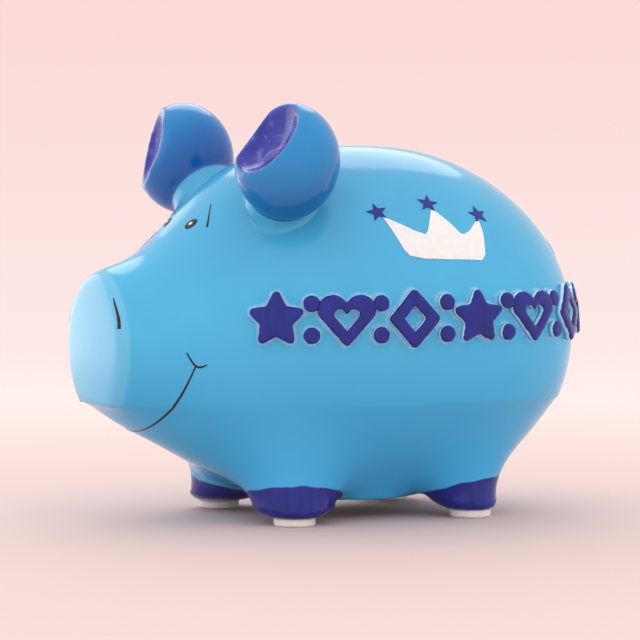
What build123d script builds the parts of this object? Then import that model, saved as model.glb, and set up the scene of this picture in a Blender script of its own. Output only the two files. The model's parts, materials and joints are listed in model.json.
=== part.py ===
"""Hollow ceramic piggy bank, 125 mm long, standing on four stub legs.

Frame: millimetres, +Z up, the snout points along -Y, and the origin is on the floor
under the middle of the pig. The pig's own left side is +X.

The body is one slip-cast shell. The ears, the tail and the raised ornaments on the
left flank are separate pieces of clay, luted to the shell before it was fired.
A soft stopper closes the hole in the belly, and each foot stands on a stuck-on pad.
"""

import os
from math import atan2, cos, pi, radians, sin

from build123d import *

os.makedirs("parts", exist_ok=True)

# --- Driving dimensions --------------------------------------------------------------

# Body shell
body_length = 125.0  # snout face to rump
body_height = 87.0  # belly to back
body_width = 85.0  # across the flanks
belly_clearance = 4.6  # floor to belly
wall = 4.2  # fired clay
snout_round = 4.0  # rounding of the snout's rim
snout_round_inside = 2.5

# Shape of the body: places along the length (0 at the snout, 1 at the rump), then the
# back and the belly as shares of body_height, and the flank as a share of half the width
body_stations = (
    (0.000, 0.635, 0.250, 0.435),
    (0.045, 0.668, 0.205, 0.475),
    (0.100, 0.702, 0.172, 0.520),
    (0.170, 0.788, 0.118, 0.600),
    (0.250, 0.898, 0.062, 0.735),
    (0.345, 0.968, 0.028, 0.865),
    (0.455, 0.995, 0.008, 0.955),
    (0.585, 1.000, 0.000, 1.000),
    (0.710, 0.974, 0.010, 0.990),
    (0.820, 0.906, 0.052, 0.905),
    (0.908, 0.806, 0.130, 0.725),
    (0.963, 0.698, 0.238, 0.490),
    (0.990, 0.600, 0.335, 0.275),
    (1.000, 0.525, 0.410, 0.120),
)
outline_points = 16  # points on each cross-section

# Legs, cast in one with the shell
leg_inset = 19.5  # middle of a foot, in from the flank
foot_radius = 6.2
front_leg_place = 0.344  # share of the length
rear_leg_place = 0.726

# Each leg is lofted through its foot and then these circles, from the floor up:
# (height, radius, how far it leans in under the belly, how far back from the foot)
front_leg_circles = ((7.0, 12.4, 5.5, 2.0), (24.0, 13.0, 7.0, 2.0))
rear_leg_circles = ((6.6, 10.2, 4.0, -1.0), (24.0, 15.0, 6.0, 2.3))

# Foot pads
pad_radius = 5.1
pad_thickness = 2.0
pad_round = 0.4

# Coin slot in the back, for coins of up to 32 mm
slot_length = 34.0
slot_width = 4.8
slot_place = 0.548  # share of the length
slot_round = 0.8

# Belly hole and its stopper
hole_radius = 14.0
hole_place = 0.535  # share of the length
seat_width = 3.0  # flat ring around the hole, let into the belly
flange_recess = 0.4  # how far the stopper lies above the flat of the belly
boss_taper = 15.0  # degrees, side of the flat boss around the hole
collar_height = 4.0  # clay above the ring
collar_wall = 2.4  # clay outside the ring
stopper_clearance = 0.1  # radial, between plug and hole
flange_clearance = 0.5  # radial, between flange and recess
flange_thickness = 1.6
flange_round = 0.5
plug_height = 4.4
plug_wall = 1.6
plug_lead = 0.8  # chamfer that leads the plug in
hole_reach = 1.6  # how far above the plug the hole is cut through the roots of the legs
grip_radius = 8.6  # finger recess under the stopper
grip_depth = 4.4
grip_bar = 3.2  # bar across the recess, to pull by
grip_bar_height = 2.4

# Ears
ear_radius = 12.6
ear_length = 29.6
ear_place = 0.298  # share of the length
ear_angle = 54.0  # degrees up the side of the head
ear_stand = 13.8  # skin to the middle of the ear
ear_splay = 13.0  # degrees that the ear leans outwards
ear_neck_radius = 10.0
ear_rim = 7.3  # middle of the ear to the plane of its rim
scoop_radius = 10.7
scoop_depth = 6.0
scoop_rise = 29.0  # degrees that the opening looks upwards
scoop_turn = 3.0  # degrees that the opening looks outwards

# Tail: a curl of rolled clay pressed on the rump
tail_radius = 1.9
tail_curl_radius = 4.2
tail_curl = 290.0  # degrees of the curl
tail_root = 4.0  # straight end below the curl
tail_sink = 1.2  # how far it is pressed into the rump
tail_lift = 0.67  # share of body_height

# Raised ornaments along the left flank
relief_height = 1.7
band_lift = 0.528  # middle of the band, as a share of body_height
band_first_station = 4  # the station that is the shoulder
band_lead = 3.0  # shoulder to the middle of the first ornament
band_tail = 13.2  # middle of the last ornament to the middle of the rump
motif_size = 12.6
motif_stroke = 3.1
motif_round = 0.7
star_tip = 0.58  # middle to a point, as a share of motif_size
star_notch = 0.29
motif_count = 7
dot_radius = 1.7
dot_spacing = 7.6
motif_reach = 9.0  # how far an ornament's outline is driven each way through the skin

# --- Shape of the body ---------------------------------------------------------------


def station_sizes():
    """The body's stations as (y, middle height, half height, half width)."""
    sizes = []
    for place, back, belly, flank in body_stations:
        middle = belly_clearance + (back + belly) / 2 * body_height
        half_height = (back - belly) / 2 * body_height
        sizes.append(((place - 0.5) * body_length, middle, half_height, flank * body_width / 2))
    return sizes


def sizes_at(place):
    """The same sizes anywhere along the body, between two stations."""
    y = (place - 0.5) * body_length
    plain = station_sizes()
    for before, after in zip(plain, plain[1:]):
        if before[0] <= y <= after[0]:
            share = (y - before[0]) / (after[0] - before[0])
            return [a + share * (b - a) for a, b in zip(before, after)]
    raise ValueError(f"{place} is not a place along the body")


def body_ovals(grow=0.0):
    """Smooth oval faces across the pig, moved out along the skin's slope by grow."""
    plain = station_sizes()
    last = len(plain) - 1
    ovals = []
    for index, (y, middle, half_height, half_width) in enumerate(plain):
        before, after = plain[max(index - 1, 0)], plain[min(index + 1, last)]
        rise = (after[2] + after[3] - before[2] - before[3]) / 2
        slope = atan2(rise, after[0] - before[0])
        out, forward = grow * cos(slope), grow * sin(slope)
        if index in (0, last):  # an end face moves along the pig by the whole amount
            out, forward = grow, grow if index == 0 else -grow
        across = Plane(origin=(0, y - forward, middle), x_dir=(1, 0, 0), z_dir=(0, -1, 0))
        turns = [2 * pi * n / outline_points for n in range(outline_points)]
        width, height = half_width + out, half_height + out
        with BuildSketch(across) as oval:
            with BuildLine():
                Spline(*[(width * cos(a), height * sin(a)) for a in turns], periodic=True)
            make_face()
        ovals.append(oval.sketch)
    return ovals


with BuildPart() as body_outer:
    loft(body_ovals())
    fillet(faces().sort_by(Axis.Y)[0].edges(), snout_round)

with BuildPart() as body_grown:
    loft(body_ovals(relief_height))

# --- Legs ----------------------------------------------------------------------------

leg_spread = body_width / 2 - leg_inset
leg_places = {"front": front_leg_place, "rear": rear_leg_place}
leg_circles = {"front": front_leg_circles, "rear": rear_leg_circles}
sides = {"left": 1, "right": -1}


def foot_point(end, side):
    """Where the middle of a foot stands on the floor."""
    return sides[side] * leg_spread, (leg_places[end] - 0.5) * body_length


def leg_outlines(end, side, inset=0.0):
    """The circles that a leg is lofted through, or those of the hollow inside it."""
    x, y = foot_point(end, side)
    outlines = []
    for height, radius, lean, back in ((pad_thickness, foot_radius, 0, 0), *leg_circles[end]):
        with BuildSketch(Plane.XY.offset(height + inset)) as outline:
            with Locations((x - sides[side] * lean, y + back)):
                Circle(radius - inset)
        outlines.append(outline.sketch)
    return outlines


# --- Body shell ----------------------------------------------------------------------

slot_y = (slot_place - 0.5) * body_length
back_height = belly_clearance + body_height
hole_y = (hole_place - 0.5) * body_length
seat_radius = hole_radius + seat_width
boss_radius = seat_radius + collar_wall
seat_height = belly_clearance + flange_recess + flange_thickness
collar_top = seat_height + collar_height
plug_top = seat_height + plug_height
hole_top = max(collar_top, plug_top) + hole_reach

with BuildPart() as cavity:
    loft(body_ovals(-wall))
    fillet(faces().sort_by(Axis.Y)[0].edges(), snout_round_inside)
    for end in leg_places:
        for side in sides:
            loft(leg_outlines(end, side, wall))
    with BuildSketch():
        with Locations((0, hole_y)):
            Circle(boss_radius)
    extrude(amount=collar_top, mode=Mode.SUBTRACT)

with BuildPart() as body_shell:
    add(body_outer.part)
    for end in leg_places:
        for side in sides:
            loft(leg_outlines(end, side))
    with BuildSketch(Plane.XY.offset(belly_clearance)):
        with Locations((0, hole_y)):
            Circle(boss_radius)
    extrude(amount=collar_top - belly_clearance, taper=-boss_taper)
    add(cavity.part, mode=Mode.SUBTRACT)
    with BuildSketch(Plane.XY.offset(back_height)):
        with Locations((0, slot_y)):
            SlotOverall(slot_length, slot_width, rotation=90)
    extrude(amount=2 * wall, both=True, mode=Mode.SUBTRACT)
    fillet(edges(Select.LAST).group_by(Axis.Z)[-1], slot_round)
    for radius, height in ((seat_radius, seat_height), (hole_radius, hole_top)):
        with BuildSketch():
            with Locations((0, hole_y)):
                Circle(radius)
        extrude(amount=height, mode=Mode.SUBTRACT)

# --- Stopper -------------------------------------------------------------------------

flange_bottom = seat_height - flange_thickness
plug_radius = hole_radius - stopper_clearance
grip_top = flange_bottom + grip_depth

with BuildPart() as belly_stopper:
    with BuildSketch(Plane(origin=(0, hole_y, 0), x_dir=(1, 0, 0), z_dir=(0, -1, 0))):
        with BuildLine():
            Polyline(
                (0, grip_top),
                (grip_radius, grip_top),
                (grip_radius, flange_bottom),
                (seat_radius - flange_clearance, flange_bottom),
                (seat_radius - flange_clearance, seat_height),
                (plug_radius, seat_height),
                (plug_radius, plug_top - plug_lead),
                (plug_radius - plug_lead, plug_top),
                (plug_radius - plug_wall, plug_top),
                (plug_radius - plug_wall, seat_height),
                (grip_radius + plug_wall, seat_height),
                (grip_radius + plug_wall, grip_top + plug_wall),
                (0, grip_top + plug_wall),
                close=True,
            )
        make_face()
    revolve(axis=Axis((0, hole_y, 0), (0, 0, 1)))
    fillet(edges().group_by(Axis.Z)[0].sort_by(SortBy.LENGTH)[-1], flange_round)
    with BuildSketch(Plane.XY.offset(flange_bottom)):
        with Locations((0, hole_y)):
            Rectangle(grip_bar, 2 * grip_radius + plug_wall)
    extrude(amount=grip_bar_height)

# --- Foot pads -----------------------------------------------------------------------

pads = {}
for end in leg_places:
    for side in sides:
        with BuildPart() as pad:
            with BuildSketch():
                with Locations(foot_point(end, side)):
                    Circle(pad_radius)
            extrude(amount=pad_thickness)
            fillet(edges().group_by(Axis.Z)[0], pad_round)
        pads[f"foot_pad_{end}_{side}"] = pad

# --- Ears ----------------------------------------------------------------------------


def skin_at(start, direction):
    """The last place, and the skin's normal there, where a line leaves the body."""
    line = Axis(start, direction)
    crossings = body_outer.part.find_intersection_points(line)
    return max(crossings, key=lambda crossing: crossing[0].dot(line.direction))


ear_y, ear_middle, *_ = sizes_at(ear_place)
ears = {}
for side, sign in sides.items():
    up_the_side = (sign * cos(radians(ear_angle)), 0, sin(radians(ear_angle)))
    root, normal = skin_at((0, ear_y, ear_middle), up_the_side)
    outwards = Vector(normal.X, 0, normal.Z).normalized()
    center = root + outwards * ear_stand
    upright = Vector(sign * sin(radians(ear_splay)), 0, cos(radians(ear_splay)))
    opening = Vector(
        sign * sin(radians(scoop_turn)) * cos(radians(scoop_rise)),
        -cos(radians(scoop_turn)) * cos(radians(scoop_rise)),
        sin(radians(scoop_rise)),
    )
    rim_plane = Plane(origin=center + opening * ear_rim, z_dir=opening)
    with BuildPart() as ear:
        with BuildSketch(Plane(origin=center, x_dir=(0, 1, 0), z_dir=(upright.Z, 0, -upright.X))):
            with BuildLine():
                EllipticalCenterArc((0, 0), ear_radius, ear_length / 2, -90, arc_size=180)
                Line((0, ear_length / 2), (0, -ear_length / 2))
            make_face()
        revolve(axis=Axis(center, upright))
        with BuildSketch(Plane(origin=center, z_dir=-outwards)):
            Circle(ear_neck_radius)
        extrude(amount=ear_stand + wall)
        split(bisect_by=rim_plane, keep=Keep.BOTTOM)
        with Locations(rim_plane.offset(scoop_radius - scoop_depth)):
            Sphere(scoop_radius, mode=Mode.SUBTRACT)
        add(body_outer.part, mode=Mode.SUBTRACT)
    ears[f"{side}_ear"] = ear

# --- Tail ----------------------------------------------------------------------------

tail_height = belly_clearance + tail_lift * body_height
tail_place, tail_normal = skin_at((0, 0, tail_height), (0, 1, 0))
tail_normal = Vector(0, tail_normal.Y, tail_normal.Z).normalized()
tail_center = tail_place + tail_normal * (tail_radius - tail_sink)
tail_plane = Plane(origin=tail_center, x_dir=(-1, 0, 0), z_dir=tail_normal)

with BuildPart() as tail:
    with BuildLine(tail_plane) as curl:
        CenterArc((0, 0), tail_curl_radius, -90, tail_curl)
        Line((-tail_root, -tail_curl_radius), (0, -tail_curl_radius))
    root, tip = curl.line @ 0, curl.line @ 1
    with BuildSketch(Plane(origin=root, z_dir=curl.line % 0)):
        Circle(tail_radius)
    sweep()
    with Locations(root, tip):
        Sphere(tail_radius)
    add(body_outer.part, mode=Mode.SUBTRACT)

# --- Raised ornaments ----------------------------------------------------------------

band_height = belly_clearance + band_lift * body_height

with BuildPart() as skin_layer:
    add(body_grown.part)
    add(body_outer.part, mode=Mode.SUBTRACT)

with BuildLine():
    band = Spline(*[(half_width, y) for y, _, _, half_width in station_sizes()[band_first_station:]])
motif_pitch = (band.length - band_lead - band_tail) / (motif_count - 1)


def band_plane(distance):
    """A plane that faces outwards, with its origin this far along the band."""
    along = band.tangent_at(distance, position_mode=PositionMode.LENGTH)
    place = band.position_at(distance, position_mode=PositionMode.LENGTH)
    return Plane(origin=(place.X, place.Y, band_height), x_dir=along, z_dir=along.cross(Vector(0, 0, 1)))


def star_outline(size):
    """A five-pointed star."""
    corners = []
    for n in range(10):
        angle = pi / 2 + n * pi / 5
        reach = size * (star_notch if n % 2 else star_tip)
        corners.append((reach * cos(angle), reach * sin(angle)))
    Polyline(*corners, close=True)


def heart_outline(size):
    """A heart: two round lobes over a point."""
    side = Line((0, -size * 0.50), (size * 0.52, size * 0.09))
    ThreePointArc(side @ 1, (size * 0.30, size * 0.44), (0, size * 0.20))
    mirror(about=Plane.YZ)


def diamond_outline(size):
    """A diamond, a little taller than it is wide."""
    half_width, half_height = size * 0.50, size * 0.56
    Polyline((half_width, 0), (0, half_height), (-half_width, 0), (0, -half_height), close=True)


motif_kinds = (("star", star_outline, 0), ("heart", heart_outline, 1), ("diamond", diamond_outline, 1))
ornaments = {}
made = {}
for number in range(motif_count):
    name, outline, hollow = motif_kinds[number % len(motif_kinds)]
    made[name] = made.get(name, 0) + 1
    with BuildPart() as motif:
        with BuildSketch(band_plane(band_lead + number * motif_pitch)):
            with BuildLine():
                outline(motif_size)
            make_face()
            fillet(vertices(), motif_round)
            if hollow:
                with BuildLine():
                    outline(motif_size - 2 * motif_stroke)
                make_face(mode=Mode.SUBTRACT)
        extrude(amount=motif_reach, both=True)
        add(skin_layer.part, mode=Mode.INTERSECT)
    ornaments[f"relief_{name}_{made[name]}"] = motif

for number in range(1, motif_count):
    with BuildPart() as dots:
        with BuildSketch(band_plane(band_lead + (number - 0.5) * motif_pitch)):
            with GridLocations(0, dot_spacing, 1, 2):
                Circle(dot_radius)
        extrude(amount=motif_reach, both=True)
        add(skin_layer.part, mode=Mode.INTERSECT)
    ornaments[f"relief_dots_{number}"] = dots

# --- Write every piece ---------------------------------------------------------------

pieces = {
    "body_shell": body_shell,
    **ears,
    "tail": tail,
    "belly_stopper": belly_stopper,
    **pads,
    **ornaments,
}
for name, piece in pieces.items():
    piece.part.label = name
    export_step(piece.part, f"parts/{name}.step")
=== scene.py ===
import json
from math import cos, pi, radians, sin, sqrt

import bpy
from mathutils import Matrix, Vector
from mathutils.kdtree import KDTree

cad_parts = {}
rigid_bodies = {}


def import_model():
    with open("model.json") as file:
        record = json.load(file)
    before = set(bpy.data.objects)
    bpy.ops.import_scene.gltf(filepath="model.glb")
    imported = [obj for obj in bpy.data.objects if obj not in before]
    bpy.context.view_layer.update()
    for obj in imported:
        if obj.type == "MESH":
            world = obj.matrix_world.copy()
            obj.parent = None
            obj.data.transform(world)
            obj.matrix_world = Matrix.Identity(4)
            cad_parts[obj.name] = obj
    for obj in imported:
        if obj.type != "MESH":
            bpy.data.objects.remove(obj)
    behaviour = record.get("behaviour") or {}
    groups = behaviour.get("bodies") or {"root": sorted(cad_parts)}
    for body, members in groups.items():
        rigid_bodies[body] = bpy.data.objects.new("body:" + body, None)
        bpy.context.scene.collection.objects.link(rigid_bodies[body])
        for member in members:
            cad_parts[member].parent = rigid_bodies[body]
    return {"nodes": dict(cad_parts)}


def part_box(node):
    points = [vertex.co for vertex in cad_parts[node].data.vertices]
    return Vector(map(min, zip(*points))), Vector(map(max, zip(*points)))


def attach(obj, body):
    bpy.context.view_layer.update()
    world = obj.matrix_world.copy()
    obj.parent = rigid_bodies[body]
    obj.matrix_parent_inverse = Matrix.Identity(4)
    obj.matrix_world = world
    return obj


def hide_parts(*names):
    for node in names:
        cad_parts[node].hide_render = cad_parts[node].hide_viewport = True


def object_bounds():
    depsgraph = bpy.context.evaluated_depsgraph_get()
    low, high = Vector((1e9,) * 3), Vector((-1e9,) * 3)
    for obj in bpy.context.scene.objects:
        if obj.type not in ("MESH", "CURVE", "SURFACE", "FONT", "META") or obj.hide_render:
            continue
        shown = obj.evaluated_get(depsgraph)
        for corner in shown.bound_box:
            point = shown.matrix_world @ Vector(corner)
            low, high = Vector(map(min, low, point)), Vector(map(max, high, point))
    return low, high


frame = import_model()
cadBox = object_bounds()
mm = 0.001


def pick(obj):
    # only this object is selected and active
    if bpy.context.object and bpy.context.object.mode != "OBJECT":
        bpy.ops.object.mode_set(mode="OBJECT")
    bpy.ops.object.select_all(action="DESELECT")
    obj.select_set(True)
    bpy.context.view_layer.objects.active = obj


def editWhere(obj, test):
    # goes into edit mode with only the chosen vertices selected
    pick(obj)
    bpy.ops.object.mode_set(mode="EDIT")
    bpy.ops.mesh.select_mode(type="VERT")
    bpy.ops.mesh.select_all(action="DESELECT")
    bpy.ops.object.mode_set(mode="OBJECT")
    for vertex in obj.data.vertices:
        vertex.select = bool(test(vertex))
    bpy.ops.object.mode_set(mode="EDIT")


def backToObject():
    bpy.ops.object.mode_set(mode="OBJECT")


def modify(obj, kind, **settings):
    # adds a modifier and applies it at once
    pick(obj)
    modifier = obj.modifiers.new(kind.title(), kind)
    for key, value in settings.items():
        setattr(modifier, key, value)
    bpy.ops.object.modifier_apply(modifier=modifier.name)


def bakePlace(obj):
    pick(obj)
    bpy.ops.object.transform_apply(location=True, rotation=True, scale=True)


def nodeCopy(node, name):
    # a loose copy of a CAD node, with its triangles joined up
    obj = bpy.data.objects.new(name, frame["nodes"][node].data.copy())
    bpy.context.scene.collection.objects.link(obj)
    obj.data.materials.clear()
    editWhere(obj, lambda v: True)
    bpy.ops.mesh.remove_doubles(threshold=0.002 * mm)
    backToObject()
    return obj


def joinAll(objects, name):
    pick(objects[0])
    for obj in objects[1:]:
        obj.select_set(True)
    bpy.ops.object.join()
    objects[0].name = name
    return objects[0]


def shadeSmooth(obj, angle=None):
    pick(obj)
    if angle is None:
        bpy.ops.object.shade_smooth()
    else:
        bpy.ops.object.shade_smooth_by_angle(angle=radians(angle))


def voxelise(obj, size):
    modify(obj, "REMESH", mode="VOXEL", voxel_size=size, adaptivity=0)


cameraLook = {"around": 65.0, "above": 3.3, "distance": 0.900, "lens": 203.5, "aim": (0.0, -0.0020, 0.0481)}


def makeCamera():
    turn, rise = radians(cameraLook["around"]), radians(cameraLook["above"])
    back = Vector((sin(turn) * cos(rise), -cos(turn) * cos(rise), sin(rise)))
    aim = Vector(cameraLook["aim"])
    bpy.ops.object.camera_add(location=aim + back * cameraLook["distance"])
    camera = bpy.context.object
    camera.rotation_euler = back.to_track_quat("Z", "Y").to_euler()
    camera.data.lens = cameraLook["lens"]
    camera.data.sensor_width = 36
    camera.data.clip_start = 0.01
    bpy.context.scene.camera = camera
    print("camera placed")


makeCamera()


def linear(code):
    # sRGB hex to the linear colour that the shaders take
    parts = [int(code[i:i + 2], 16) / 255 for i in (1, 3, 5)]
    return tuple(p / 12.92 if p <= 0.04045 else ((p + 0.055) / 1.055) ** 2.4 for p in parts) + (1.0,)


def newMaterial(name):
    material = bpy.data.materials.new(name)
    material.use_nodes = True
    material.node_tree.nodes.clear()
    return material, material.node_tree


def node(tree, kind, links=None, **settings):
    # adds a node; settings are its own values, or its sockets' values by name; links go to sockets
    made = tree.nodes.new(kind)
    for key, value in settings.items():
        if hasattr(made, key):
            setattr(made, key, value)
        else:
            made.inputs[key.replace("_", " ")].default_value = value
    for key, source in (links or {}).items():
        tree.links.new(source, made.inputs[key])
    return made


def finishMaterial(tree, shader):
    output = tree.nodes.new("ShaderNodeOutputMaterial")
    tree.links.new(shader.outputs[0], output.inputs["Surface"])


glazeLook = {
    # top, middle and low run by height: the darker top and brighter low part are painted shade and painted
    # light, evening out the light from above
    "top": "#419bc4", "middle": "#43add9", "low": "#36a6e0",
    "earTop": "#1f80bd", "earMiddle": "#0a62a6", "earLow": "#054c96",
    # snout is the paler colour of the flat snout face: a painted reflection of the bright light in front
    "cobalt": "#101c88", "cobaltDeep": "#0b146f", "halo": "#b9dfee", "snout": "#7cc0df",
    "patch": 16.0, "patchShift": 0.36,  # mm, uneven pools of glaze, and how far they shift the colour
    "lowFrom": 5.0, "topTo": 92.0,  # mm, heights between which the colour goes from low to top
    "snoutReflectionFrom": -60.9, "snoutReflectionTo": -59.9, "snoutReflectionShare": 0.4,  # mm, edge of the paler snout, and how pale
    "waviness": 13.0, "waveStrength": 0.22, "waveDepth": 0.5,  # mm
    "brush": 2.2,  # mm, width of a brush stroke
    "roughness": 0.14,
}
hoofLook = {
    "front": {"centre": (20.0, -18.5, 1.6), "reach": (15.5, 15.0, 9.6)},
    "rear": {"centre": (20.5, 29.5, 1.4), "reach": (15.0, 14.0, 9.8)},
}  # mm; hoof paint stops at this oval around each foot


def glazeColoursWithPaintedLight(tree, place):
    # sprayed slip under clear glaze, with uneven pools of glaze; by height the colour is painted darker on top
    # and brighter low down, evening out the light, which falls brighter from above
    split = node(tree, "ShaderNodeSeparateXYZ", {"Vector": place.outputs["Object"]})
    pools = node(tree, "ShaderNodeTexNoise", {"Vector": place.outputs["Object"]},
                 Scale=1 / (glazeLook["patch"] * mm), Detail=3.0, Roughness=0.55)
    height = node(tree, "ShaderNodeMapRange", {"Value": split.outputs["Z"]},
                  From_Min=glazeLook["lowFrom"] * mm, From_Max=glazeLook["topTo"] * mm)
    shift = node(tree, "ShaderNodeMath", {0: pools.outputs["Fac"]}, operation="MULTIPLY_ADD")
    shift.inputs[1].default_value = glazeLook["patchShift"]
    shift.inputs[2].default_value = -glazeLook["patchShift"] / 2
    mixed = node(tree, "ShaderNodeMath", {0: height.outputs["Result"], 1: shift.outputs[0]}, operation="ADD")
    # low to top by height: a painted darker top and a painted brighter low part, against the light from above
    ramp = node(tree, "ShaderNodeValToRGB", {"Fac": mixed.outputs[0]})
    ramp.color_ramp.elements[0].color = linear(glazeLook["low"])
    ramp.color_ramp.elements[1].color = linear(glazeLook["top"])
    ramp.color_ramp.elements.new(0.5).color = linear(glazeLook["middle"])
    return ramp.outputs["Color"]


def cobaltColour(tree, place):
    # cobalt brushed on in strokes, never quite even
    strokes = node(tree, "ShaderNodeMapping", {"Vector": place.outputs["Object"]}, Scale=(1, 1, 0.3))
    noise = node(tree, "ShaderNodeTexNoise", {"Vector": strokes.outputs["Vector"]},
                 Scale=1 / (glazeLook["brush"] * mm), Detail=2.0)
    ramp = node(tree, "ShaderNodeValToRGB", {"Fac": noise.outputs["Fac"]})
    ramp.color_ramp.elements[0].position = 0.3
    ramp.color_ramp.elements[0].color = linear(glazeLook["cobaltDeep"])
    ramp.color_ramp.elements[1].position = 0.7
    ramp.color_ramp.elements[1].color = linear(glazeLook["cobalt"])
    return ramp.outputs["Color"]


def mixColours(tree, factor, under, over):
    mix = node(tree, "ShaderNodeMix", data_type="RGBA")
    tree.links.new(factor, mix.inputs[0])
    tree.links.new(under, mix.inputs[6])
    tree.links.new(over, mix.inputs[7])
    return mix.outputs[2]


def glazeShader(tree, place, colour):
    # clear gloss glaze: mirror-like, and a little wavy from how it ran
    waves = node(tree, "ShaderNodeTexNoise", {"Vector": place.outputs["Object"]},
                 Scale=1 / (glazeLook["waviness"] * mm), Detail=1.0)
    bump = node(tree, "ShaderNodeBump", {"Height": waves.outputs["Fac"]},
                Strength=glazeLook["waveStrength"], Distance=glazeLook["waveDepth"] * mm)
    return node(tree, "ShaderNodeBsdfPrincipled", {"Base Color": colour, "Normal": bump.outputs["Normal"]},
                Roughness=glazeLook["roughness"], IOR=1.5)


def plainColour(tree, code):
    colour = node(tree, "ShaderNodeRGB")
    colour.outputs[0].default_value = linear(code)
    return colour.outputs[0]


def fadeIn(tree, source, start, end, most=1.0):
    # 0 at start, most at end
    return node(tree, "ShaderNodeMapRange", {"Value": source}, interpolation_type="SMOOTHSTEP",
                From_Min=start, From_Max=end, To_Max=most).outputs["Result"]


def fadeOut(tree, source, start, end, most=1.0):
    # most at start, 0 at end
    return node(tree, "ShaderNodeMapRange", {"Value": source}, interpolation_type="SMOOTHSTEP",
                From_Min=start, From_Max=end, To_Min=most, To_Max=0.0).outputs["Result"]


def wandering(tree, place, source, size, amount):
    # a hand-painted edge wanders by amount
    summed = node(tree, "ShaderNodeMath", {0: source, 1: edgeNoise(tree, place, size, amount).outputs[0]})
    return summed.outputs[0]


def edgeNoise(tree, place, size, amount):
    # slow noise between -amount and amount
    noise = node(tree, "ShaderNodeTexNoise", {"Vector": place.outputs["Object"]},
                 Scale=1 / (size * mm), Detail=1.0)
    return node(tree, "ShaderNodeMapRange", {"Value": noise.outputs["Fac"]}, To_Min=-amount, To_Max=amount)


def hoofMask(tree, place):
    # inside the oval around a foot; left and right are alike, so X is taken without its sign
    bothSides = node(tree, "ShaderNodeVectorMath", {0: place.outputs["Object"]}, operation="ABSOLUTE")
    split = node(tree, "ShaderNodeSeparateXYZ", {"Vector": bothSides.outputs[0]})
    signed = node(tree, "ShaderNodeSeparateXYZ", {"Vector": place.outputs["Object"]})
    folded = node(tree, "ShaderNodeCombineXYZ",
                  {"X": split.outputs["X"], "Y": signed.outputs["Y"], "Z": signed.outputs["Z"]})
    masks = []
    for foot in hoofLook.values():
        away = node(tree, "ShaderNodeVectorMath", {0: folded.outputs[0]}, operation="SUBTRACT")
        away.inputs[1].default_value = [c * mm for c in foot["centre"]]
        shares = node(tree, "ShaderNodeVectorMath", {0: away.outputs[0]}, operation="DIVIDE")
        shares.inputs[1].default_value = [c * mm for c in foot["reach"]]
        length = node(tree, "ShaderNodeVectorMath", {0: shares.outputs[0]}, operation="LENGTH")
        masks.append(length.outputs["Value"])
    nearest = node(tree, "ShaderNodeMath", {0: masks[0], 1: masks[1]}, operation="MINIMUM")
    wander = edgeNoise(tree, place, 7.0, 0.07)
    reach = node(tree, "ShaderNodeMath", {0: nearest.outputs[0], 1: wander.outputs[0]}, operation="ADD")
    mask = node(tree, "ShaderNodeMapRange", {"Value": reach.outputs[0]}, interpolation_type="SMOOTHSTEP",
                From_Min=1.02, From_Max=0.98)
    return mask.outputs["Result"]


def bodyGlazeMaterial():
    # gloss-glazed earthenware: sky blue slip, cobalt hooves, and a painted reflection paling the flat snout
    # face
    material, tree = newMaterial("gloss_glaze_sky_blue")
    place = node(tree, "ShaderNodeTexCoord")
    blue = glazeColoursWithPaintedLight(tree, place)
    split = node(tree, "ShaderNodeSeparateXYZ", {"Vector": place.outputs["Object"]})
    # the flat snout face is painted paler: a painted reflection of the light in front of it
    edge = wandering(tree, place, split.outputs["Y"], 9.0, 0.5 * mm)
    snout = fadeOut(tree, edge, glazeLook["snoutReflectionFrom"] * mm, glazeLook["snoutReflectionTo"] * mm, glazeLook["snoutReflectionShare"])
    withSnoutReflection = mixColours(tree, snout, blue, plainColour(tree, glazeLook["snout"]))
    near = node(tree, "ShaderNodeAttribute", attribute_name="nearOrnament").outputs["Fac"]
    thin = fadeIn(tree, wandering(tree, place, near, 2.5, 0.22), 0.35, 0.95, 0.6)
    edged = mixColours(tree, thin, withSnoutReflection, plainColour(tree, glazeLook["halo"]))
    colour = mixColours(tree, hoofMask(tree, place), edged, cobaltColour(tree, place))
    finishMaterial(tree, glazeShader(tree, place, colour))
    return material


bodyGlaze = bodyGlazeMaterial()


bodyLook = {
    "voxel": 1.0, "settle": 8, "soften": 320,
    # mm, the heights between which the leg roots are softened, for the inner and outer side of a foot
    "innerFoot": 3.4, "outerFoot": 2.2, "footSplit": 22.0, "rootTop": 29.0,
    "holeMargin": 1.8,  # mm round the stopper that stays as it is
    "snoutDome": 1.4, "snoutReach": 19.0, "snoutDepth": 2.0, "snoutEase": 1.4,
    "halo": 1.5,  # mm
}
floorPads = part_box("foot_pad_front_left")[1].z  # the feet end here
holeLow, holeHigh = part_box("belly_stopper")
holeMiddle = (holeLow + holeHigh) / 2
holeKeep = (holeHigh.x - holeLow.x) / 2 + bodyLook["holeMargin"] * mm


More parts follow.
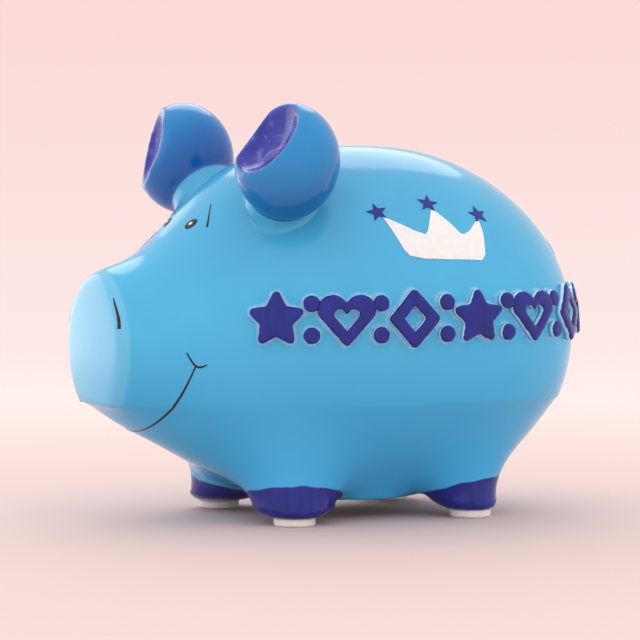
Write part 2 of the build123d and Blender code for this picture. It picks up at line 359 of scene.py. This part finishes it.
def makeBody():
    body = nodeCopy("body_shell", "glazed_body")
    voxelise(body, bodyLook["voxel"] * mm)
    modify(body, "SMOOTH", factor=0.5, iterations=bodyLook["settle"])

    def legRoots(v):
        away = (Vector((v.co.x, v.co.y)) - holeMiddle.xy).length
        inner = away < bodyLook["footSplit"] * mm
        bottom = floorPads + bodyLook["innerFoot" if inner else "outerFoot"] * mm
        return bottom < v.co.z < bodyLook["rootTop"] * mm and away > holeKeep

    editWhere(body, legRoots)
    bpy.ops.mesh.vertices_smooth(factor=0.5, repeat=bodyLook["soften"])
    backToObject()
    # the flat end of the snout swells a little
    front = cadBox[0].y
    snoutDepth = bodyLook["snoutDepth"] * mm
    face = [v for v in body.data.vertices if v.co.y < front + snoutDepth]
    middle = sum((v.co for v in face), Vector()) / len(face)
    for v in face:
        share = ((v.co - middle).xz.length / (bodyLook["snoutReach"] * mm)) ** 2
        depth = 1 - (v.co.y - front) / snoutDepth
        v.co.y -= bodyLook["snoutDome"] * mm * max(1 - share, 0) * min(max(depth, 0) * bodyLook["snoutEase"], 1)
    shadeSmooth(body)
    body.data.materials.append(bodyGlaze)
    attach(body, "bank")
    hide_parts("body_shell")
    print("body:", len(body.data.polygons), "faces")
    return body


body = makeBody()


earLook = {
    "width": 25.2, "length": 28.2, "splay": 13.0,  # mm and degrees, the bulb
    "rise": {"left_ear": 38.0, "right_ear": 16.0},  # degrees that the opening looks up; no two ears are alike
    "turn": {"left_ear": 12.0, "right_ear": 14.0},  # and outwards
    "cut": {"left_ear": 8.3, "right_ear": 8.8},  # middle of the bulb to the plane of the opening
    "facet": 30.0, "facetFrom": 6.6,  # the inner side is pressed flat
    "scoopLong": 12.0, "scoopWide": 10.9, "scoopDeep": 9.0, "scoopOut": 5.4, "scoopShift": 0.8,
    "neckLean": (0.683, 0.731),  # outwards and up
    "neckRadius": 8.3, "neckBack": 2.0, "neckSink": 3.0,
    "patchRadius": 18.0, "patchSink": 2.0, "patchDrop": 0.12,
    "fillet": 2.6, "filletUnder": 0.5, "filletReach": 15.5, "filletBack": 5.0,
    "voxel": 0.45, "settle": 15, "crease": 26,
    "purple": "#30379a", "purpleDeep": "#232a8c", "lavender": "#7f79c6",
}


def storeNumbers(obj, name, values):
    obj.data.attributes.new(name, "FLOAT", "POINT").data.foreach_set("value", values)


def earMaterial():
    # the same gloss glaze, laid on deeper than on the body, with the scoop brushed purple in loose strokes
    material, tree = newMaterial("gloss_glaze_deep_blue")
    place = node(tree, "ShaderNodeTexCoord")
    fromHead = node(tree, "ShaderNodeAttribute", attribute_name="fromHead").outputs["Fac"]
    scooped = node(tree, "ShaderNodeAttribute", attribute_name="scooped").outputs["Fac"]
    collar = node(tree, "ShaderNodeAttribute", attribute_name="collar").outputs["Fac"]
    head = glazeColoursWithPaintedLight(tree, place)
    deep = earColours(tree, fromHead)
    swirl = node(tree, "ShaderNodeTexNoise", {"Vector": place.outputs["Object"]},
                 Scale=1 / (5.5 * mm), Detail=4.0, Roughness=0.6, Distortion=1.4)
    ramp = node(tree, "ShaderNodeValToRGB", {"Fac": swirl.outputs["Fac"]})
    ramp.color_ramp.elements[0].position = 0.34
    ramp.color_ramp.elements[0].color = linear(earLook["purpleDeep"])
    ramp.color_ramp.elements[1].position = 0.78
    ramp.color_ramp.elements[1].color = linear(earLook["lavender"])
    ramp.color_ramp.elements.new(0.54).color = linear(earLook["purple"])
    blended = mixColours(tree, fadeOut(tree, wandering(tree, place, collar, 4.0, 0.12), 0.15, 0.7), head, deep)
    painted = fadeIn(tree, wandering(tree, place, scooped, 5.0, 0.12), 0.5, 0.75)
    finishMaterial(tree, glazeShader(tree, place, mixColours(tree, painted, blended, ramp.outputs["Color"])))
    return material


def earColours(tree, fromHead):
    # darkest next to the head, lighter towards the tip of the ear
    ramp = node(tree, "ShaderNodeValToRGB", {"Fac": fadeIn(tree, fromHead, 1.0, 26.0)})
    ramp.color_ramp.elements[0].color = linear(glazeLook["earLow"])
    ramp.color_ramp.elements[1].color = linear(glazeLook["earTop"])
    ramp.color_ramp.elements.new(0.45).color = linear(glazeLook["earMiddle"])
    return ramp.outputs["Color"]


def addBall(place, turn, radii):
    bpy.ops.object.select_all(action="DESELECT")
    bpy.ops.mesh.primitive_uv_sphere_add(segments=64, ring_count=32, radius=1, location=place,
                                         rotation=turn, scale=radii)
    ball = bpy.context.object
    bakePlace(ball)
    return ball


def cutAway(obj, place, normal):
    # cuts off what lies beyond a plane and closes the cut
    pick(obj)
    bpy.ops.object.mode_set(mode="EDIT")
    bpy.ops.mesh.select_all(action="SELECT")
    bpy.ops.mesh.bisect(plane_co=place, plane_no=normal, clear_outer=True, use_fill=True)
    backToObject()


def makeEar(nodeName, sign, material):
    look = earLook
    low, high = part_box(nodeName)
    splay = radians(look["splay"])
    half, tall = look["width"] / 2 * mm, look["length"] / 2 * mm
    reachX = sqrt((half * cos(splay)) ** 2 + (tall * sin(splay)) ** 2)
    reachZ = sqrt((tall * cos(splay)) ** 2 + (half * sin(splay)) ** 2)
    outer = high.x if sign > 0 else low.x
    centre = Vector((outer - sign * reachX, high.y - half, high.z - reachZ))
    rise, turn = radians(look["rise"][nodeName]), radians(look["turn"][nodeName])
    opening = Vector((sign * sin(turn) * cos(rise), -cos(turn) * cos(rise), sin(rise)))
    sideways = (Vector((sign, 0, 0)) - opening * opening.x * sign).normalized()
    lengthways = opening.cross(sideways)

    bulb = addBall(centre, (0, sign * splay, 0), (half, half, tall))
    mouth = centre + opening * look["cut"][nodeName] * mm
    cutAway(bulb, mouth, opening)
    tilt = radians(look["facet"])
    cutAway(bulb, mouth - sideways * look["facetFrom"] * mm, opening * cos(tilt) - sideways * sin(tilt))
    frameOfScoop = Matrix((lengthways, sideways, opening)).transposed()
    if frameOfScoop.determinant() < 0:
        frameOfScoop = Matrix((-lengthways, sideways, opening)).transposed()
    scoopMiddle = mouth + sideways * look["scoopShift"] * mm + opening * look["scoopOut"] * mm
    scoop = addBall(scoopMiddle, frameOfScoop.to_euler(),
                    (look["scoopLong"] * mm, look["scoopWide"] * mm, look["scoopDeep"] * mm))
    modify(bulb, "BOOLEAN", operation="DIFFERENCE", object=scoop, solver="EXACT")
    bpy.data.objects.remove(scoop)

    # a neck, and a slice of the head just under the skin, so that the clay runs smoothly from one to the other
    outwards = Vector((sign * look["neckLean"][0], 0, look["neckLean"][1]))
    top = centre + Vector((0, look["neckBack"] * mm, 0))
    _, skin, _, _ = body.ray_cast(top, -outwards)
    length = (top - skin).length + look["neckSink"] * mm
    bpy.ops.object.select_all(action="DESELECT")
    bpy.ops.mesh.primitive_cylinder_add(vertices=64, radius=look["neckRadius"] * mm, depth=length,
                                        location=top - outwards * length / 2,
                                        rotation=outwards.to_track_quat("Z", "Y").to_euler())
    neck = bpy.context.object
    bakePlace(neck)
    patch = addBall(skin - outwards * look["patchSink"] * mm, (0, 0, 0), (look["patchRadius"] * mm,) * 3)
    modify(patch, "BOOLEAN", operation="INTERSECT", object=body, solver="EXACT")
    pick(patch)
    bpy.ops.transform.translate(value=-outwards * look["patchDrop"] * mm)
    bakePlace(patch)
    ear = joinAll([bulb, neck, patch], "glazed_" + nodeName)
    voxelise(ear, look["voxel"] * mm)
    crease = ear.vertex_groups.new(name="crease")
    for v in ear.data.vertices:
        _, near, normal, _ = body.closest_point_on_mesh(v.co)
        height = (v.co - near).dot(normal)
        outside = (v.co - skin).dot(outwards) > -look["filletBack"] * mm
        closeBy = (near - skin).length < look["filletReach"] * mm
        if outside and closeBy and -look["filletUnder"] * mm < height < look["fillet"] * mm:
            crease.add([v.index], 1.0 - max(height, 0) / (look["fillet"] * mm), "REPLACE")
    modify(ear, "SMOOTH", factor=0.5, iterations=look["crease"], vertex_group="crease")
    modify(ear, "SMOOTH", factor=0.5, iterations=look["settle"])
    shadeSmooth(ear)

    fromHead, scooped, collar = [], [], []
    upright = Matrix.Rotation(-sign * splay, 3, "Y")
    for v in ear.data.vertices:
        _, near, normal, _ = body.closest_point_on_mesh(v.co)
        fromHead.append((v.co - near).dot(normal) / mm)
        inBulb = upright @ (v.co - centre)
        share = sqrt((inBulb.x / half) ** 2 + (inBulb.y / half) ** 2 + (inBulb.z / tall) ** 2)
        collar.append((share - 1) * half / mm)
        ahead = (v.co - centre).dot(opening) > 0
        onFacet = (v.co - mouth).dot(sideways) < -(look["facetFrom"] + 0.6) * mm
        scooped.append((1 - share) * half / mm if ahead and not onFacet else 0.0)
    storeNumbers(ear, "fromHead", fromHead)
    storeNumbers(ear, "scooped", scooped)
    storeNumbers(ear, "collar", collar)
    ear.data.materials.clear()
    ear.data.materials.append(material)
    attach(ear, "bank")
    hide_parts(nodeName)
    print(ear.name, len(ear.data.polygons), "faces")


earGlaze = earMaterial()
makeEar("left_ear", 1, earGlaze)
makeEar("right_ear", -1, earGlaze)


reliefLook = {"voxel": 0.3, "settle": 8, "grow": 0.4, "paintFrom": 1.5, "haloFrom": 0.9}


def storeHeight(obj):
    # how far each point stands above the body, in mm, for the paint to follow
    values = []
    for v in obj.data.vertices:
        _, near, normal, _ = body.closest_point_on_mesh(v.co)
        values.append((v.co - near).dot(normal) / mm)
    storeNumbers(obj, "height", values)


def reliefMaterial():
    # sprigged slip under the sky blue glaze, its top brushed cobalt; glaze thins to pale along the edges
    material, tree = newMaterial("gloss_glaze_cobalt_relief")
    place = node(tree, "ShaderNodeTexCoord")
    blue = glazeColoursWithPaintedLight(tree, place)
    height = node(tree, "ShaderNodeAttribute", attribute_name="height")
    wander = edgeNoise(tree, place, 1.8, 0.28)
    level = node(tree, "ShaderNodeMath", {0: height.outputs["Fac"], 1: wander.outputs[0]}, operation="ADD")
    haloTop = node(tree, "ShaderNodeMapRange", {"Value": level.outputs[0]}, interpolation_type="SMOOTHSTEP",
                   From_Min=reliefLook["haloFrom"] - 0.35, From_Max=reliefLook["haloFrom"] + 0.25)
    painted = node(tree, "ShaderNodeMapRange", {"Value": level.outputs[0]}, interpolation_type="SMOOTHSTEP",
                   From_Min=reliefLook["paintFrom"] - 0.06, From_Max=reliefLook["paintFrom"] + 0.06)
    edged = mixColours(tree, haloTop.outputs["Result"], blue, plainColour(tree, glazeLook["halo"]))
    colour = mixColours(tree, painted.outputs["Result"], edged, cobaltColour(tree, place))
    finishMaterial(tree, glazeShader(tree, place, colour))
    return material


def makeRelief():
    material = reliefMaterial()
    for nodeName in sorted(n for n in frame["nodes"] if n.startswith("relief_")):
        piece = nodeCopy(nodeName, "glazed_" + nodeName)
        voxelise(piece, reliefLook["voxel"] * mm)
        modify(piece, "SMOOTH", factor=0.5, iterations=reliefLook["settle"])
        modify(piece, "DISPLACE", strength=reliefLook["grow"] * mm, mid_level=0)
        storeHeight(piece)
        shadeSmooth(piece)
        piece.data.materials.append(material)
        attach(piece, "bank")
        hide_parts(nodeName)
    print("ornaments done")


makeRelief()


def markHalo():
    # glaze draws back from the ornaments: how near each point of the body is to one, 1 at its foot
    ornaments = [o for o in bpy.data.objects if o.name.startswith("glazed_relief_")]
    points = [v.co for o in ornaments for v in o.data.vertices]
    tree = KDTree(len(points))
    for index, point in enumerate(points):
        tree.insert(point, index)
    tree.balance()
    storeNumbers(body, "nearOrnament",
                 [max(1 - tree.find(v.co)[2] / (bodyLook["halo"] * mm), 0) for v in body.data.vertices])


markHalo()


smallLook = {
    "tailVoxel": 0.35, "tailSettle": 5, "tailGrow": 0.25,
    "padVoxel": 0.3, "padSettle": 3, "padRough": 0.12, "padCloud": 3.0,
    "feltDark": "#cfccc6", "feltLight": "#f7f6f2", "feltFibre": 0.35,  # mm
    "vinylDark": "#101114", "vinylLight": "#202226", "vinylGrain": 0.5,  # mm
}


def makeTail():
    tail = nodeCopy("tail", "glazed_tail")
    voxelise(tail, smallLook["tailVoxel"] * mm)
    modify(tail, "SMOOTH", factor=0.5, iterations=smallLook["tailSettle"])
    modify(tail, "DISPLACE", strength=smallLook["tailGrow"] * mm, mid_level=0)
    shadeSmooth(tail)
    tail.data.materials.append(bodyGlaze)
    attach(tail, "bank")
    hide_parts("tail")


def feltMaterial():
    # die-cut needle felt: matte, white, short fibres
    material, tree = newMaterial("needle_felt_white")
    place = node(tree, "ShaderNodeTexCoord")
    fibres = node(tree, "ShaderNodeTexNoise", {"Vector": place.outputs["Object"]},
                  Scale=1 / (smallLook["feltFibre"] * mm), Detail=4.0, Roughness=0.7)
    ramp = node(tree, "ShaderNodeValToRGB", {"Fac": fibres.outputs["Fac"]})
    ramp.color_ramp.elements[0].color = linear(smallLook["feltDark"])
    ramp.color_ramp.elements[1].color = linear(smallLook["feltLight"])
    bump = node(tree, "ShaderNodeBump", {"Height": fibres.outputs["Fac"]}, Strength=0.5, Distance=0.0001)
    shader = node(tree, "ShaderNodeBsdfPrincipled",
                  {"Base Color": ramp.outputs["Color"], "Normal": bump.outputs["Normal"]},
                  Roughness=0.95, IOR=1.45, Sheen_Weight=0.3)
    finishMaterial(tree, shader)
    return material


def makePads():
    felt = feltMaterial()
    cloudy = bpy.data.textures.new("padUneven", "CLOUDS")
    cloudy.noise_scale = smallLook["padCloud"] * mm
    for nodeName in sorted(n for n in frame["nodes"] if n.startswith("foot_pad_")):
        pad = nodeCopy(nodeName, "felt_" + nodeName)
        voxelise(pad, smallLook["padVoxel"] * mm)
        modify(pad, "SMOOTH", factor=0.5, iterations=smallLook["padSettle"])
        modify(pad, "DISPLACE", texture=cloudy, texture_coords="GLOBAL", strength=smallLook["padRough"] * mm,
               mid_level=0.6, direction="NORMAL")
        for v in pad.data.vertices:
            v.co.z = max(v.co.z, 0)  # pressed flat on the table
        shadeSmooth(pad)
        pad.data.materials.append(felt)
        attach(pad, "bank")
        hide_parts(nodeName)
    print("pads done")


def dressStopper():
    # soft vinyl, injection moulded: black, satin, finely pebbled
    material, tree = newMaterial("soft_vinyl_black")
    place = node(tree, "ShaderNodeTexCoord")
    grain = node(tree, "ShaderNodeTexNoise", {"Vector": place.outputs["Object"]},
                 Scale=1 / (smallLook["vinylGrain"] * mm), Detail=2.0)
    bump = node(tree, "ShaderNodeBump", {"Height": grain.outputs["Fac"]}, Strength=0.25, Distance=0.00005)
    ramp = node(tree, "ShaderNodeValToRGB", {"Fac": grain.outputs["Fac"]})
    ramp.color_ramp.elements[0].color = linear(smallLook["vinylDark"])
    ramp.color_ramp.elements[1].color = linear(smallLook["vinylLight"])
    shader = node(tree, "ShaderNodeBsdfPrincipled",
                  {"Base Color": ramp.outputs["Color"], "Normal": bump.outputs["Normal"]},
                  Roughness=0.5, IOR=1.5)
    finishMaterial(tree, shader)
    stopper = frame["nodes"]["belly_stopper"]
    stopper.data.materials.clear()
    stopper.data.materials.append(material)


makeTail()
makePads()
dressStopper()


paintLook = {
    "lift": 0.05, "coat": 0.1,  # mm that a painted patch stands off the glaze, and its thickness
    "drop": 6.0, "streak": 1.6,  # mm above the skin that a patch starts from, and a streak of the brush
    "strokeRadius": 0.5, "strokeSink": 0.15, "strokeUnder": 0.25,  # mm
    "starLift": 0.06,  # mm above the crown
    "white": ("#e4e4e3", "#dadad9"), "black": ("#141214", "#241c18"), "brown": ("#4a2c14", "#2c180a"),
    "cobalt": ("#1c2988", "#141d70"), "pink": ("#f3a3da", "#f0b6e0"),
}
crownLook = {
    "middle": (36.5, 12.2, 69.6), "facing": (0.82, 0.0, 0.57),
    "outline": [(-13.0, 6.3), (-6.2, 2.0), (-3.3, 0.6), (-2.4, 1.5), (0.2, 7.6), (1.2, 7.2), (4.4, 3.5),
                (6.2, 0.9), (7.2, 0.6), (9.0, 1.6), (11.8, 4.6), (12.8, 4.6), (12.9, 1.0), (12.0, -4.6),
                (10.8, -6.1), (2.0, -6.0), (-4.6, -5.6), (-8.4, -4.6), (-9.6, -3.0)],
    "stars": [(-13.9, 7.6, 8.0), (0.0, 9.6, -12.0), (13.2, 6.8, 10.0)], "starReach": 2.75, "starNotch": 1.15,
}
faceLook = {
    "eye": {1: (8.1, -40.2, 72.7), -1: (-4.5, -41.1, 72.9)}, "eyeSize": (1.8, 1.3), "eyeTurn": 44.0,
    "iris": (0.8, 0.72), "irisLift": 0.05, "glint": (0.3, 0.33), "glintLift": 0.1,  # shares of the eye, and mm
    "brow": [(8.9, -35.3, 77.5), (11.4, -36.9, 74.9), (13.4, -38.3, 72.1)],
    "browSize": (0.35, 0.45, 0.7),
    "nostril": [(12.0, -62.0, 55.4), (14.2, -62.0, 52.6), (15.9, -62.0, 50.0), (16.0, -62.0, 48.2)],
    "nostrilSize": (0.35, 0.6, 0.95, 1.15),
    "smile": [(0.0, -53.6, 20.4), (5.6, -53.0, 21.4), (10.6, -52.1, 23.4), (17.3, -49.7, 28.1),
              (21.2, -47.4, 33.6), (23.4, -45.5, 39.4)],
    "smileSize": (0.42, 0.5, 0.6, 0.7, 0.55, 0.4),
    "dimple": [(22.2, -47.4, 42.6), (23.1, -46.4, 40.2), (23.9, -44.8, 38.6), (24.8, -43.2, 39.6)],
    "dimpleSize": (0.35, 0.5, 0.6, 0.35),
    "blush": (-12.5, -43.5, 67.5), "blushSize": (4.8, 3.8), "blushTurn": 0.4,
}


def paintMaterial(colour, rough=0.18):
    # on-glaze enamel, brushed thin: slightly streaky, fired to a gloss
    material, tree = newMaterial("enamel_" + colour)
    light, dark = paintLook[colour]
    place = node(tree, "ShaderNodeTexCoord")
    streaks = node(tree, "ShaderNodeTexNoise", {"Vector": place.outputs["Object"]},
                   Scale=1 / (paintLook["streak"] * mm), Detail=3.0, Roughness=0.6)
    ramp = node(tree, "ShaderNodeValToRGB", {"Fac": streaks.outputs["Fac"]})
    ramp.color_ramp.elements[0].position = 0.3
    ramp.color_ramp.elements[0].color = linear(dark)
    ramp.color_ramp.elements[1].position = 0.7
    ramp.color_ramp.elements[1].color = linear(light)
    bump = node(tree, "ShaderNodeBump", {"Height": streaks.outputs["Fac"]}, Strength=0.25, Distance=0.00004)
    finishMaterial(tree, node(tree, "ShaderNodeBsdfPrincipled",
                              {"Base Color": ramp.outputs["Color"], "Normal": bump.outputs["Normal"]},
                              Roughness=rough, IOR=1.5))
    return material


whiteEnamel = paintMaterial("white", 0.3)
blackEnamel = paintMaterial("black")
brownEnamel = paintMaterial("brown")
cobaltEnamel = paintMaterial("cobalt")
pinkEnamel = paintMaterial("pink")


def facingFrame(facing):
    # X runs along the pig towards the rump, Y up the skin, Z out of it
    out = Vector(facing).normalized()
    along = Vector((0, 0, 1)).cross(out).normalized()
    return Matrix((along, out.cross(along), out)).transposed()


def paintPatch(name, middle, facing, outline, material):
    # a flat outline, filled with a fine grid, laid onto the skin and given the thickness of paint
    turn = facingFrame(facing)
    place = Vector(middle) * mm + turn @ Vector((0, 0, paintLook["drop"] * mm))
    reach = max(max(abs(x), abs(y)) for x, y in outline) * 2.1 * mm
    bpy.ops.object.select_all(action="DESELECT")
    bpy.ops.mesh.primitive_grid_add(x_subdivisions=48, y_subdivisions=48, size=reach)
    patch = bpy.context.object
    patch.name = name
    bpy.ops.object.select_all(action="DESELECT")
    bpy.ops.mesh.primitive_circle_add(vertices=len(outline), fill_type="NGON", location=(0, 0, 0))
    cutter = bpy.context.object
    for v, (x, y) in zip(cutter.data.vertices, outline):
        v.co = (x * mm, y * mm, -1 * mm)
    editWhere(cutter, lambda v: True)
    bpy.ops.mesh.extrude_region_move(TRANSFORM_OT_translate={"value": (0, 0, 2 * mm)})
    bpy.ops.mesh.select_all(action="SELECT")
    bpy.ops.mesh.normals_make_consistent(inside=False)
    backToObject()
    modify(patch, "BOOLEAN", operation="INTERSECT", object=cutter, solver="EXACT")
    bpy.data.objects.remove(cutter)
    patch.matrix_world = Matrix.Translation(place) @ turn.to_4x4()
    bpy.context.view_layer.update()
    modify(patch, "SHRINKWRAP", target=body, wrap_method="PROJECT", use_project_z=True,
           use_positive_direction=False, use_negative_direction=True, offset=paintLook["lift"] * mm)
    modify(patch, "SOLIDIFY", thickness=paintLook["coat"] * mm, offset=1)
    bakePlace(patch)
    shadeSmooth(patch, 40)
    patch.data.materials.clear()
    patch.data.materials.append(material)
    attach(patch, "bank")
    return patch


def starOutline(x, y, turn):
    points = []
    for n in range(10):
        angle = radians(90 + turn + 36 * n)
        reach = crownLook["starNotch"] if n % 2 else crownLook["starReach"]
        points.append((x + reach * cos(angle), y + reach * sin(angle)))
    return points


def paintStroke(name, points, sizes, material, side=1):
    # a brush stroke: a tube pressed flat, with its top a coat of paint above the skin and the rest under it
    bpy.ops.object.select_all(action="DESELECT")
    bpy.ops.curve.primitive_nurbs_path_add()
    stroke = bpy.context.object
    stroke.name = name
    stroke.data.splines.clear()
    spline = stroke.data.splines.new("NURBS")
    spline.points.add(len(points) - 1)
    for point, (x, y, z), size in zip(spline.points, points, sizes):
        target = Vector((x * side, y, z)) * mm
        _, near, normal, _ = body.closest_point_on_mesh(target)
        spot = near - normal * paintLook["strokeSink"] * mm
        point.co = (spot.x, spot.y, spot.z, 1)
        point.radius = size
    spline.order_u = 3
    spline.use_endpoint_u = True
    spline.resolution_u = 12
    stroke.data.bevel_depth = paintLook["strokeRadius"] * mm
    stroke.data.bevel_resolution = 5
    stroke.data.use_fill_caps = True
    bpy.ops.object.convert(target="MESH")
    stroke = bpy.context.object
    # laid onto the skin all along, so that the middle of the stroke keeps one thickness
    laid = []
    for v in stroke.data.vertices:
        _, near, normal, _ = body.closest_point_on_mesh(v.co)
        up = v.normal.dot(normal)
        laid.append(near + normal * up * paintLook["coat" if up > 0 else "strokeUnder"] * mm)
    for v, place in zip(stroke.data.vertices, laid):
        v.co = place
    bakePlace(stroke)
    shadeSmooth(stroke)
    stroke.data.materials.clear()
    stroke.data.materials.append(material)
    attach(stroke, "bank")


def ovalOutline(halfLong, halfWide, turn, steps=40):
    points = []
    for n in range(steps):
        angle = 2 * pi * n / steps
        x, y = halfLong * cos(angle), halfWide * sin(angle)
        points.append((x * cos(turn) - y * sin(turn), x * sin(turn) + y * cos(turn)))
    return points


def skinFacing(point):
    _, near, normal, _ = body.closest_point_on_mesh(Vector(point) * mm)
    return near / mm, normal


def paintFace(side, word):
    middle, facing = skinFacing(faceLook["eye"][side])
    turn = radians(faceLook["eyeTurn"]) * side
    halfLong, halfWide = faceLook["eyeSize"]
    (irisLong, irisWide), (glintLong, glintWide) = faceLook["iris"], faceLook["glint"]
    paintPatch(word + "_eye_outline", middle, facing, ovalOutline(halfLong, halfWide, turn), blackEnamel)
    iris = paintPatch(word + "_eye_iris", middle + facing * 0.06, facing,
                      ovalOutline(halfLong * irisLong, halfWide * irisWide, turn), brownEnamel)
    glint = paintPatch(word + "_eye_glint", middle + facing * 0.1, facing,
                       ovalOutline(halfLong * glintLong, halfWide * glintWide, turn), whiteEnamel)
    for patch, lift in ((iris, faceLook["irisLift"]), (glint, faceLook["glintLift"])):
        pick(patch)
        bpy.ops.transform.translate(value=facing * lift * mm)
        bakePlace(patch)
    paintStroke(word + "_brow", faceLook["brow"], faceLook["browSize"], blackEnamel, side)
    paintStroke(word + "_nostril", faceLook["nostril"], faceLook["nostrilSize"], blackEnamel, side)
    paintStroke(word + "_dimple", faceLook["dimple"], faceLook["dimpleSize"], blackEnamel, side)


def paintSmile():
    half = list(zip(faceLook["smile"], faceLook["smileSize"]))
    whole = [((-x, y, z), size) for (x, y, z), size in reversed(half[1:])] + half
    paintStroke("smile", [p for p, _ in whole], [size for _, size in whole], blackEnamel)


def paintCrown():
    middle, facing = crownLook["middle"], crownLook["facing"]
    paintPatch("crown", middle, facing, crownLook["outline"], whiteEnamel)
    turn = facingFrame(facing)
    for number, (x, y, tilt) in enumerate(crownLook["stars"], 1):
        star = paintPatch("crown_star_%d" % number, middle, facing, starOutline(x, y, tilt), cobaltEnamel)
        pick(star)
        bpy.ops.transform.translate(value=turn @ Vector((0, 0, paintLook["starLift"] * mm)))
        bakePlace(star)


paintFace(1, "left")
paintFace(-1, "right")
paintSmile()
paintCrown()
paintPatch("blush", *skinFacing(faceLook["blush"]),
           ovalOutline(*faceLook["blushSize"], faceLook["blushTurn"]), pinkEnamel)
print("face and crown painted")


stageLook = {
    "reach": 1.6, "fadeFrom": 0.16, "fadeTo": 0.62,  # m, radius of the sheet, and where it fades out
    # near is the floor close to the pig, painted darker as its shade; far is the floor further out
    "near": "#cfbdb9", "far": "#d2c8c5", "paintedShadeTo": 0.13, "farFrom": 0.42,  # m from the pig
    # the wall is paler low down: painted light, where the backdrop curves up from the floor and catches more of
    # it
    "low": "#feece9", "high": "#fbdad8",  # the wall behind, at the floor and above
    "lowTo": -0.08, "highFrom": 0.02,  # where on the wall the one turns into the other
    "sky": "#fff6f4", "skyStrength": 1.42, "reflectStrength": 0.85,
}


def makeStage():
    # matte paper on a table, painted a little darker around the pig as its shade
    material, tree = newMaterial("paper_pale_pink_painted_shade")
    place = node(tree, "ShaderNodeTexCoord")
    away = node(tree, "ShaderNodeVectorMath", {0: place.outputs["Object"]}, operation="LENGTH")
    share = node(tree, "ShaderNodeMapRange", {"Value": away.outputs["Value"]}, interpolation_type="SMOOTHSTEP",
                 From_Min=stageLook["paintedShadeTo"], From_Max=stageLook["farFrom"])
    # painted shade: darker near the pig, paler further out
    ramp = node(tree, "ShaderNodeValToRGB", {"Fac": share.outputs["Result"]})
    ramp.color_ramp.elements[0].color = linear(stageLook["near"])
    ramp.color_ramp.elements[1].color = linear(stageLook["far"])
    shader = node(tree, "ShaderNodeBsdfPrincipled", {"Base Color": ramp.outputs["Color"]},
                  Roughness=0.95, Specular_IOR_Level=0.1)
    # the sheet fades out, so that no horizon shows
    clear = node(tree, "ShaderNodeBsdfTransparent")
    edge = node(tree, "ShaderNodeMapRange", {"Value": away.outputs["Value"]}, interpolation_type="SMOOTHSTEP",
                From_Min=stageLook["fadeFrom"], From_Max=stageLook["fadeTo"])
    mix = node(tree, "ShaderNodeMixShader",
               {0: edge.outputs["Result"], 1: shader.outputs[0], 2: clear.outputs[0]})
    finishMaterial(tree, mix)
    bpy.ops.object.select_all(action="DESELECT")
    bpy.ops.mesh.primitive_circle_add(vertices=96, radius=stageLook["reach"], fill_type="NGON")
    floor = bpy.context.object
    floor.name = "floor"
    floor.data.materials.append(material)
    bakePlace(floor)

    # a wide pale studio: pink wall to look at, near-white light from all round
    world = bpy.data.worlds.new("studio")
    world.use_nodes = True
    sky = world.node_tree
    sky.nodes.clear()
    direction = node(sky, "ShaderNodeTexCoord")
    split = node(sky, "ShaderNodeSeparateXYZ", {"Vector": direction.outputs["Generated"]})
    climb = node(sky, "ShaderNodeMapRange", {"Value": split.outputs["Z"]},
                 From_Min=stageLook["lowTo"], From_Max=stageLook["highFrom"])
    # paler low on the wall, pinker above: painted light on the curve of the backdrop
    wallWithPaintedLight = node(sky, "ShaderNodeValToRGB", {"Fac": climb.outputs["Result"]})
    wallWithPaintedLight.color_ramp.elements[0].color = linear(stageLook["low"])
    wallWithPaintedLight.color_ramp.elements[1].color = linear(stageLook["high"])
    seen = node(sky, "ShaderNodeBackground", {"Color": wallWithPaintedLight.outputs["Color"]}, Strength=1.0)
    around = node(sky, "ShaderNodeBackground", Color=linear(stageLook["sky"]),
                  Strength=stageLook["skyStrength"])
    mirrored = node(sky, "ShaderNodeBackground", Color=linear(stageLook["sky"]),
                    Strength=stageLook["reflectStrength"])
    rays = node(sky, "ShaderNodeLightPath")
    light = node(sky, "ShaderNodeMixShader", {0: rays.outputs["Is Glossy Ray"], 1: around.outputs[0],
                                              2: mirrored.outputs[0]})
    choice = node(sky, "ShaderNodeMixShader", {0: rays.outputs["Is Camera Ray"], 1: light.outputs[0],
                                               2: seen.outputs[0]})
    node(sky, "ShaderNodeOutputWorld", {"Surface": choice.outputs[0]})
    bpy.context.scene.world = world


lightLook = {
    "top_softbox": {"place": (-0.83, 0.39, 0.85), "aim": (0, 0, 0.05), "size": 0.9, "power": 3},
    "snout_softbox": {"place": (-1.0, -0.47, 0.1), "aim": (0, -0.06, 0.05), "size": 1.3, "power": 4},
}  # m and W


def softbox(name, look):
    bpy.ops.object.light_add(type="AREA", location=look["place"])
    light = bpy.context.object
    light.name = name
    light.data.shape = "ELLIPSE"
    light.data.size, light.data.size_y = look["size"], look["size"]
    light.data.energy = look["power"]
    light.rotation_euler = (Vector(look["place"]) - Vector(look["aim"])).to_track_quat("Z", "Y").to_euler()


makeStage()
for name, look in lightLook.items():
    softbox(name, look)
bpy.context.scene.view_settings.view_transform = "Standard"
print("stage and lights set")
